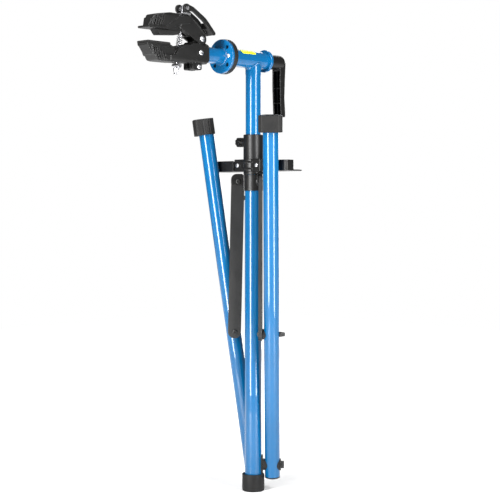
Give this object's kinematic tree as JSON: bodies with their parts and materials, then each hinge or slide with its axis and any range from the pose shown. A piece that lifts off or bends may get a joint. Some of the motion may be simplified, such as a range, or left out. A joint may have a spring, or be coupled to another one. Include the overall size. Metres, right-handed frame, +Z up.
{
  "type": "bike repair stand",
  "caption": "Folding floor stand for bicycle repair: telescoping mast, two strutted folding legs, tool tray, and a swivelling cam-lever clamp with a crank handle.",
  "frame": {"origin": "centre of the mast foot's underside, on the floor", "axes": "+Z up along the mast, clamp pointing to -X, right leg on the -Y side"},
  "size_m": [0.4246, 0.2692, 1.064],
  "materials": {
    "blue_paint": "gloss powder coat",
    "black_plastic": "satin glass-filled nylon",
    "rubber": "matte moulded rubber",
    "black_metal": "satin black paint",
    "steel": "zinc plated",
    "nylon": "natural nylon",
    "label": "plain printed film"
  },
  "bodies": {
    "base": {"lower_mast": "blue_paint", "mast_foot": "rubber", "guide_stud": "black_metal", "top_collar": "black_plastic", "knob_nut": "steel", "collar_bush": "nylon", "tray_clamp": "black_plastic", "tool_tray": "black_plastic", "tray_screws": "steel", "hinge_saddles": "black_plastic", "hinge_bolts": "black_metal", "hinge_nuts": "black_metal"},
    "knob": {"height_knob": "black_plastic", "knob_stud": "steel"},
    "mast_bush": {"mast_end_bush": "nylon"},
    "upper": {"upper_mast": "blue_paint", "head_sleeve": "blue_paint", "sleeve_ring": "blue_paint", "head_bushes": "nylon", "friction_disc": "rubber", "sleeve_label": "label"},
    "crank": {"crank_handle": "black_plastic", "tie_rod": "steel", "crank_washer": "black_metal"},
    "clamp": {"front_flange": "blue_paint", "flange_screw": "steel", "clamp_tube": "blue_paint", "tube_insert": "nylon", "clamp_body": "black_plastic", "lower_pad": "rubber", "clamp_bolts": "steel", "jaw_pivot_pin": "steel", "jaw_spring": "steel"},
    "jaw": {"upper_jaw": "black_plastic", "upper_pad": "rubber", "cam_saddle": "steel"},
    "rod": {"clamp_rod": "steel", "lever_pin": "steel"},
    "lever": {"qr_lever": "black_plastic"},
    "trunnion": {"rod_trunnion": "steel"},
    "wing": {"wing_nut": "steel"},
    "collar": {"sliding_collar": "black_plastic", "collar_pins": "black_metal"},
    "left_leg": {"left_leg_tube": "blue_paint", "left_foot_cap": "rubber", "left_leg_plug": "black_plastic", "left_leg_spacers": "black_plastic", "left_leg_stud": "black_metal"},
    "left_strut": {"left_strut": "black_metal", "left_strut_pin": "black_metal"},
    "right_leg": {"right_leg_tube": "blue_paint", "right_foot_cap": "rubber", "right_leg_plug": "black_plastic", "right_leg_spacers": "black_plastic", "right_leg_stud": "black_metal"},
    "right_strut": {"right_strut": "black_metal", "right_strut_pin": "black_metal"}
  },
  "joints": [
    {"name": "knob_spin", "type": "hinge", "parent": "base", "child": "knob", "pos_m": [0, 0.03, 0.782], "axis": [0, 1, 0], "continuous": true},
    {"name": "mast_slide", "type": "slide", "parent": "base", "child": "mast_bush", "axis": [0, 0, 1], "range_m": [0, 0.62]},
    {"name": "mast_swivel", "type": "hinge", "parent": "mast_bush", "child": "upper", "pos_m": [0, 0, 0.5], "axis": [0, 0, 1], "continuous": true},
    {"name": "crank_turn", "type": "hinge", "parent": "upper", "child": "crank", "pos_m": [0.05, 0, 0.9635], "axis": [1, 0, 0], "continuous": true},
    {"name": "head_turn", "type": "hinge", "parent": "upper", "child": "clamp", "pos_m": [-0.1, 0, 0.9635], "axis": [1, 0, 0], "continuous": true},
    {"name": "jaw_open", "type": "hinge", "parent": "clamp", "child": "jaw", "pos_m": [-0.173, 0, 0.9935], "axis": [0, 1, 0], "range_deg": [-3, 16], "deforming": ["jaw_spring"]},
    {"name": "rod_tilt", "type": "hinge", "parent": "jaw", "child": "rod", "pos_m": [-0.215, 0, 1.0545], "axis": [0, 1, 0], "range_deg": [-8.82, 1.67]},
    {"name": "lever_flip", "type": "hinge", "parent": "rod", "child": "lever", "pos_m": [-0.215, 0, 1.0545], "axis": [0, -1, 0], "range_deg": [0, 130]},
    {"name": "trunnion_tilt", "type": "hinge", "parent": "clamp", "child": "trunnion", "pos_m": [-0.233, 0, 0.934], "axis": [0, 1, 0], "range_deg": [-1.36, 7.21]},
    {"name": "wing_nut_spin", "type": "hinge", "parent": "trunnion", "child": "wing", "pos_m": [-0.233, 0, 0.934], "axis": [-0.1477, 0, -0.989], "continuous": true},
    {"name": "left_leg_fold", "type": "hinge", "parent": "base", "child": "left_leg", "pos_m": [0.02793, 0.0327, 0.059], "axis": [-0.6494, -0.7604, 0], "range_deg": [0, 84.6]},
    {"name": "right_leg_fold", "type": "hinge", "parent": "base", "child": "right_leg", "pos_m": [0.02793, -0.0327, 0.059], "axis": [0.6494, -0.7604, 0], "range_deg": [0, 84.6]},
    {"name": "collar_slide", "type": "slide", "parent": "base", "child": "collar", "axis": [0, 0, -1], "range_m": [0, 0.4407]},
    {"name": "left_strut_swing", "type": "hinge", "parent": "collar", "child": "left_strut", "pos_m": [-0.0134, 0.03512, 0.694], "axis": [0.6494, 0.7604, 0], "range_deg": [0, 51]},
    {"name": "right_strut_swing", "type": "hinge", "parent": "collar", "child": "right_strut", "pos_m": [-0.0134, -0.03512, 0.694], "axis": [-0.6494, 0.7604, 0], "range_deg": [0, 51]}
  ],
  "couplings": [
    {"joint": "rod_tilt", "follows": "jaw_open", "ratio": -0.55025},
    {"joint": "trunnion_tilt", "follows": "jaw_open", "ratio": 0.44975},
    {"joint": "right_leg_fold", "follows": "left_leg_fold", "ratio": 1},
    {"joint": "collar_slide", "follows": "left_leg_fold", "m_per_rad": 0.29812},
    {"joint": "left_strut_swing", "follows": "left_leg_fold", "ratio": 0.60081},
    {"joint": "right_strut_swing", "follows": "left_leg_fold", "ratio": 0.60081}
  ]
}
